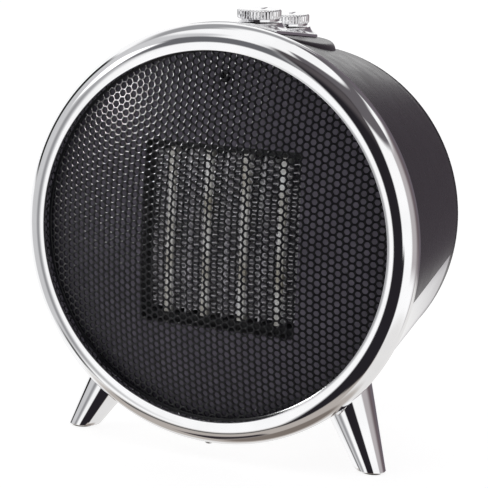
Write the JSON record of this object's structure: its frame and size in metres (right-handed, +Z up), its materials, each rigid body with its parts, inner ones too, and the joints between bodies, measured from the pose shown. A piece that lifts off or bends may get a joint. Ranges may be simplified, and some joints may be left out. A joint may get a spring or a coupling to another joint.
{
  "type": "ceramic fan heater",
  "caption": "Drum-shaped table-top ceramic fan heater on splayed legs, with a domed honeycomb grille, chrome ring and top knobs.",
  "frame": {"origin": "centre of the bounding box on the floor plane", "axes": "+Z up; the warm-air grille faces -Y and the drum axis runs along Y"},
  "size_m": [0.2284, 0.1454, 0.2433],
  "materials": {
    "chrome": "polished chrome plating",
    "black_gloss": "satin-gloss black moulding",
    "black_metal": "black enamelled perforated steel",
    "dark_plate": "dark grey coated steel",
    "aluminium": "bare folded strip",
    "ceramic": "pale heating stones in a thin sleeve",
    "steel": "zinc plated",
    "brass": "bare",
    "plain_plastic": "matt heat-resistant moulding",
    "white_plastic": "matt",
    "rubber": "soft matt"
  },
  "bodies": {
    "housing": {"front_bezel": "chrome", "bezel_screw": "steel", "front_grille": "black_metal", "grille_retaining_ring": "plain_plastic", "front_plate": "dark_plate", "plate_screw": "steel", "air_duct": "plain_plastic", "core_frame": "plain_plastic", "heating_bar_1": "ceramic", "heating_bar_2": "ceramic", "heating_bar_3": "ceramic", "heating_bar_4": "ceramic", "fin_spacer_1": "aluminium", "fin_spacer_2": "aluminium", "fin_spacer_3": "aluminium", "fin_strip_1": "aluminium", "fin_strip_2": "aluminium", "fin_strip_3": "aluminium", "fin_strip_4": "aluminium", "fin_strip_5": "aluminium", "fin_strip_6": "aluminium", "fin_strip_7": "aluminium", "fin_strip_8": "aluminium", "core_terminal_1": "brass", "core_terminal_2": "brass", "thermal_cutout": "steel", "thermal_fuse": "white_plastic", "fan_shroud": "plain_plastic", "motor_bracket": "steel", "motor": "steel", "mode_switch": "plain_plastic", "thermostat": "plain_plastic", "upper_shell": "black_gloss", "leg_front_left": "chrome", "foot_pad_front_left": "rubber", "leg_screw_front_left": "steel", "leg_front_right": "chrome", "foot_pad_front_right": "rubber", "leg_screw_front_right": "steel", "leg_rear": "chrome", "foot_pad_rear": "rubber", "leg_screw_rear": "steel", "lower_shell": "chrome", "control_panel": "chrome", "rear_cover": "black_gloss", "cover_screw_1": "steel", "cover_screw_2": "steel", "cover_screw_3": "steel", "cover_screw_4": "steel", "cord_inlet": "rubber", "terminal_block": "white_plastic", "tip_over_switch": "plain_plastic"},
    "fan_rotor": {"fan": "plain_plastic", "motor_shaft": "steel"},
    "mode_control": {"mode_knob": "chrome", "mode_spindle": "steel"},
    "thermostat_control": {"thermostat_knob": "chrome", "thermostat_spindle": "steel"}
  },
  "joints": [
    {"name": "fan_spin", "type": "hinge", "parent": "housing", "child": "fan_rotor", "pos_m": [0, 0.00094, 0.1223], "axis": [0, 1, 0], "continuous": true},
    {"name": "mode_turn", "type": "hinge", "parent": "housing", "child": "mode_control", "pos_m": [0, -0.00906, 0.2358], "axis": [0, -0.0436, 0.999], "range_deg": [-135, 0]},
    {"name": "thermostat_turn", "type": "hinge", "parent": "housing", "child": "thermostat_control", "pos_m": [0, 0.03214, 0.2315], "axis": [0, -0.0436, 0.999], "range_deg": [-270, 0]}
  ]
}
